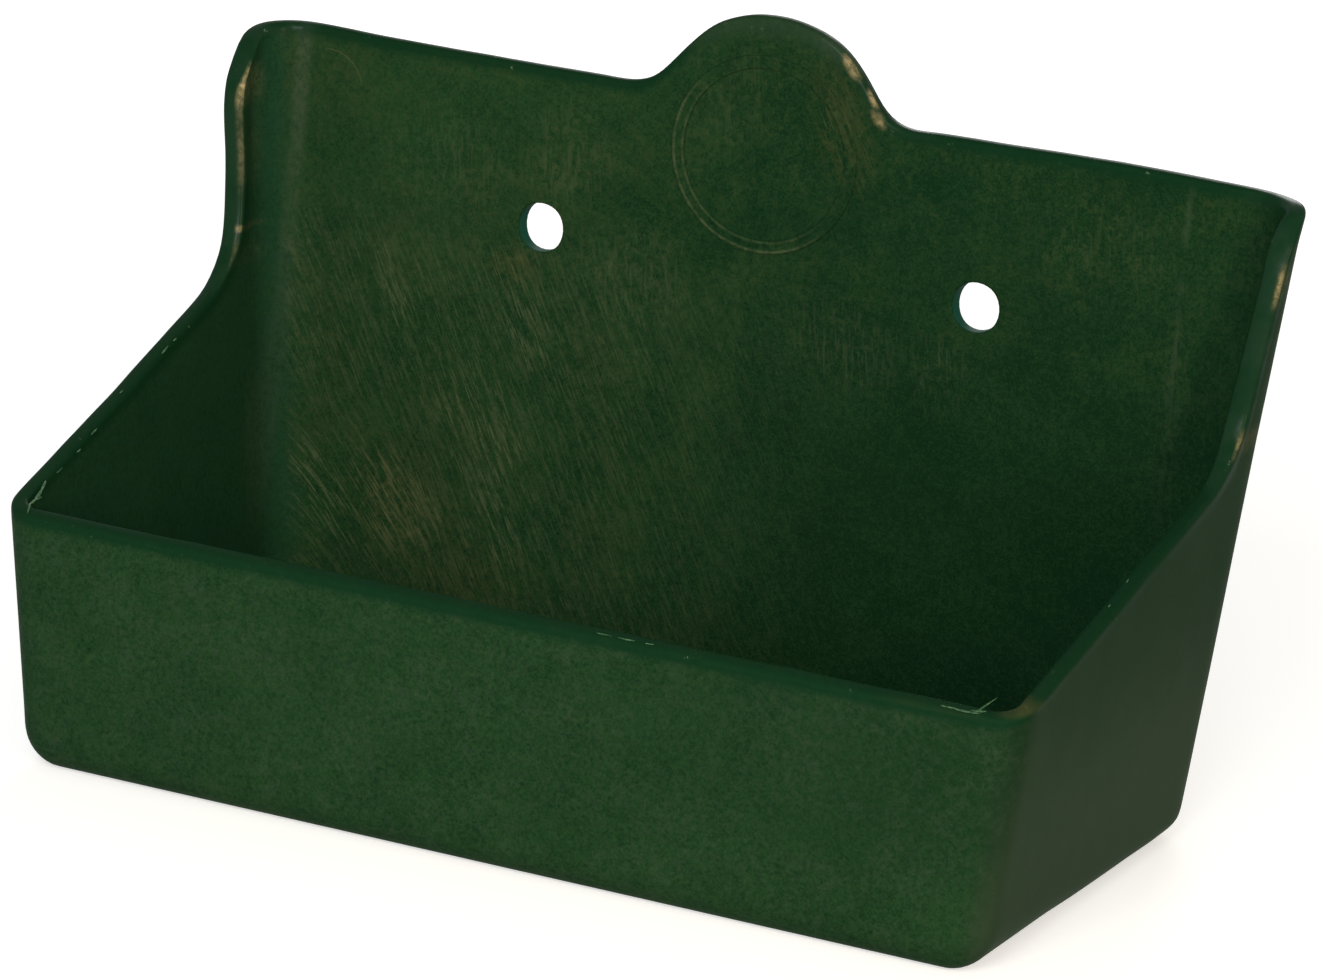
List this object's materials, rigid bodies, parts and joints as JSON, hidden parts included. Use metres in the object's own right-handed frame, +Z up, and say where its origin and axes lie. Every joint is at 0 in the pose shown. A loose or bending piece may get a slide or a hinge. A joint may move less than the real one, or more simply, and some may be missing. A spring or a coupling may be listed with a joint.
{
  "type": "livestock mineral feeder",
  "caption": "Wall-hung one-piece plastic mineral feeder: open tray with a low front, sloping sides, a tall back with side flanges, two fixing holes and a round tab on top.",
  "frame": {"origin": "midway between the two fixing holes, on the flat back face that lies against the wall", "axes": "+X along the wall to the right as seen from the front, +Y into the wall, +Z up; the open front faces -Y"},
  "size_m": [0.3376, 0.1685, 0.2165],
  "materials": {
    "green_plastic": "satin dark green moulded plastic"
  },
  "bodies": {
    "root": {"feeder_shell": "green_plastic"}
  },
  "joints": []
}
